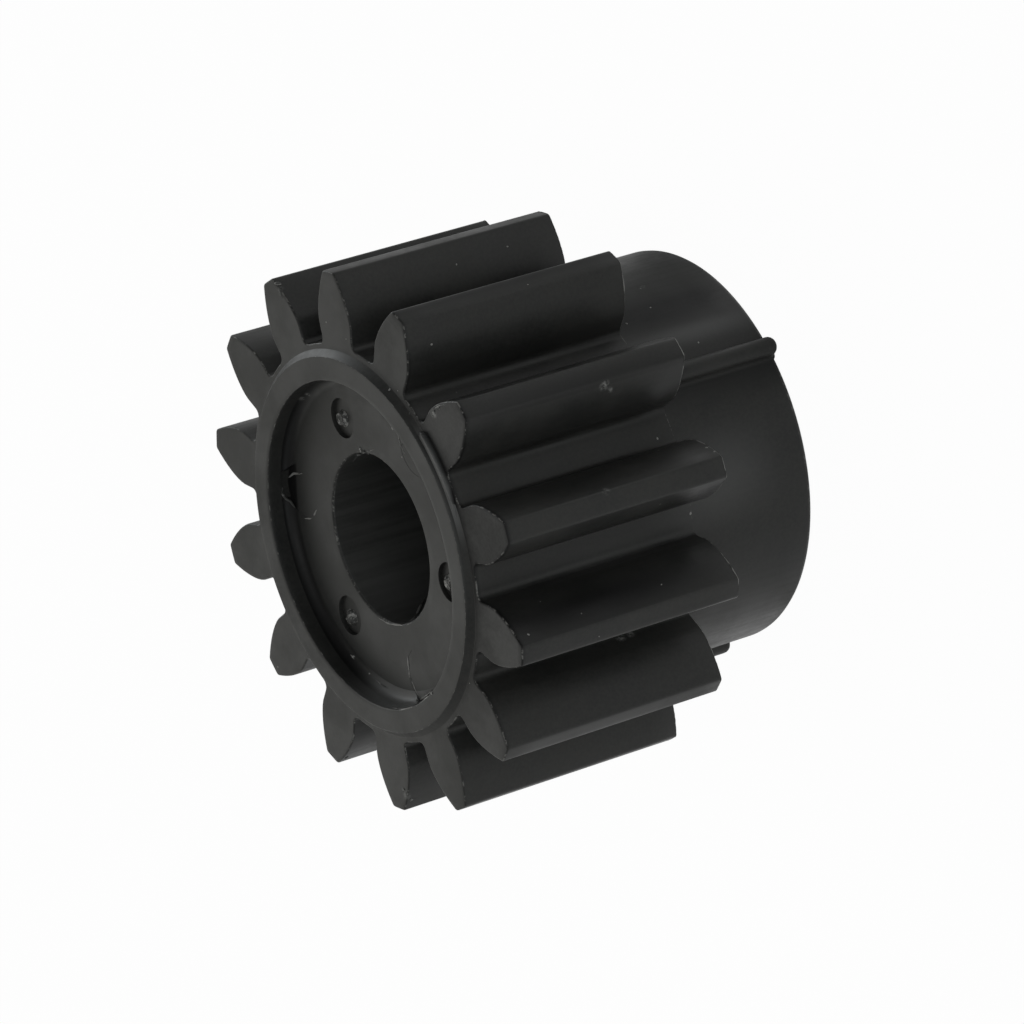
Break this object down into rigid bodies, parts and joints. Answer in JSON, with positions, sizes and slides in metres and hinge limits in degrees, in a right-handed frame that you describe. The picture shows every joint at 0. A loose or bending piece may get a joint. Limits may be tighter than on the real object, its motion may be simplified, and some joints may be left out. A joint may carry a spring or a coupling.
{
  "type": "spur gear",
  "caption": "Moulded plastic spur gear with straight involute teeth, a raised ring around a recessed face, a plain through bore and a long ribbed hub.",
  "frame": {"origin": "on the gear's axis, at the hub's flat end, which is the lowest plane", "axes": "+Z along the bore axis from the hub's end to the ring's face; +X through the middle of the tooth that one hub rib stands behind"},
  "size_m": [0.0242, 0.0238, 0.0178],
  "materials": {
    "black_acetal": "satin black moulded acetal"
  },
  "bodies": {
    "root": {"spur_gear": "black_acetal"}
  },
  "joints": []
}
